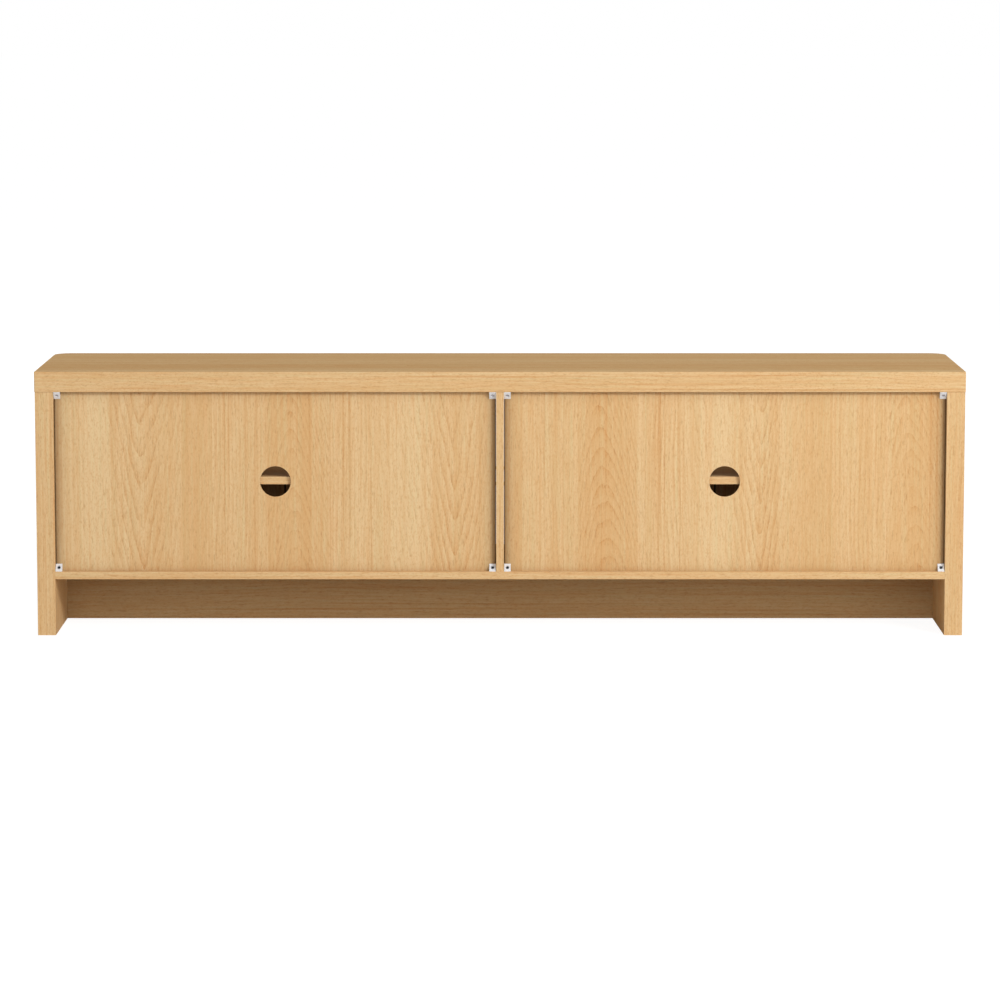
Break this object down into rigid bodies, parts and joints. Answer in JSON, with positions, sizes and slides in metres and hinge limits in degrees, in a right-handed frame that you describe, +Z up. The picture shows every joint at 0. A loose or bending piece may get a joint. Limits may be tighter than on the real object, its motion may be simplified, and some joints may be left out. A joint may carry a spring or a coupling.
{
  "type": "media cabinet",
  "caption": "Low wide media cabinet on full-height end panels: shelved bays behind inset pivoting doors, recessed back panels with round cable holes.",
  "frame": {"origin": "middle of the footprint, on the floor", "axes": "+X right seen from the front, +Y towards the back panels, +Z up; the doors face -Y"},
  "size_m": [1.8, 0.4, 0.515],
  "materials": {
    "oak_top": "satin clear coat over light oak, grain along the length",
    "oak_side": "satin light oak, grain upright",
    "oak_board": "satin light oak on board",
    "oak_back": "satin light oak on thin board, grain upright",
    "oak_door": "satin light oak",
    "beech_dowel": "plain turned beech",
    "white_plastic": "moulded, satin",
    "nylon": "moulded nylon",
    "screw_steel": "zinc-plated",
    "zinc": "die-cast zinc",
    "nickel": "nickel-plated",
    "magnet": "dark magnet with steel pole faces",
    "edge_rubber": "matt dark brown soft strip",
    "black_metal": "matt black powder coat"
  },
  "bodies": {
    "carcass": {"top_slab": "oak_top", "side_panel_left": "oak_side", "side_panel_right": "oak_side", "bottom_panel": "oak_board", "divider": "oak_board", "stretcher": "oak_board", "back_panel_left": "oak_back", "back_panel_right": "oak_back", "shelf_left": "oak_board", "shelf_right": "oak_board", "back_clips_left": "white_plastic", "back_clips_right": "white_plastic", "clip_screws": "screw_steel", "cam_locks": "zinc", "cam_bolts": "screw_steel", "dowels": "beech_dowel", "divider_screws": "screw_steel", "shelf_pins": "nickel", "pivot_bushes": "nylon", "catch_housings": "white_plastic", "catch_magnets": "magnet", "catch_screws": "screw_steel"},
    "door_1": {"door_1": "oak_door", "edge_seal_1": "edge_rubber", "pivot_pins_1": "nickel", "edge_pull_1": "black_metal", "pull_screws_1": "screw_steel", "strike_plate_1": "nickel", "strike_screw_1": "screw_steel"},
    "door_2": {"door_2": "oak_door", "edge_seal_2": "edge_rubber", "pivot_pins_2": "nickel", "edge_pull_2": "black_metal", "pull_screws_2": "screw_steel", "strike_plate_2": "nickel", "strike_screw_2": "screw_steel"},
    "door_3": {"door_3": "oak_door", "edge_seal_3": "edge_rubber", "pivot_pins_3": "nickel", "edge_pull_3": "black_metal", "pull_screws_3": "screw_steel", "strike_plate_3": "nickel", "strike_screw_3": "screw_steel"},
    "door_4": {"door_4": "oak_door", "edge_seal_4": "edge_rubber", "pivot_pins_4": "nickel", "edge_pull_4": "black_metal", "pull_screws_4": "screw_steel", "strike_plate_4": "nickel", "strike_screw_4": "screw_steel"}
  },
  "joints": [
    {"name": "door_1_pivot", "type": "hinge", "parent": "carcass", "child": "door_1", "pos_m": [-0.854, -0.182, 0.127], "axis": [0, 0, -1], "range_deg": [0, 90]},
    {"name": "door_2_pivot", "type": "hinge", "parent": "carcass", "child": "door_2", "pos_m": [-0.0175, -0.182, 0.127], "axis": [0, 0, 1], "range_deg": [0, 90]},
    {"name": "door_3_pivot", "type": "hinge", "parent": "carcass", "child": "door_3", "pos_m": [0.0175, -0.182, 0.127], "axis": [0, 0, -1], "range_deg": [0, 90]},
    {"name": "door_4_pivot", "type": "hinge", "parent": "carcass", "child": "door_4", "pos_m": [0.854, -0.182, 0.127], "axis": [0, 0, 1], "range_deg": [0, 90]}
  ]
}
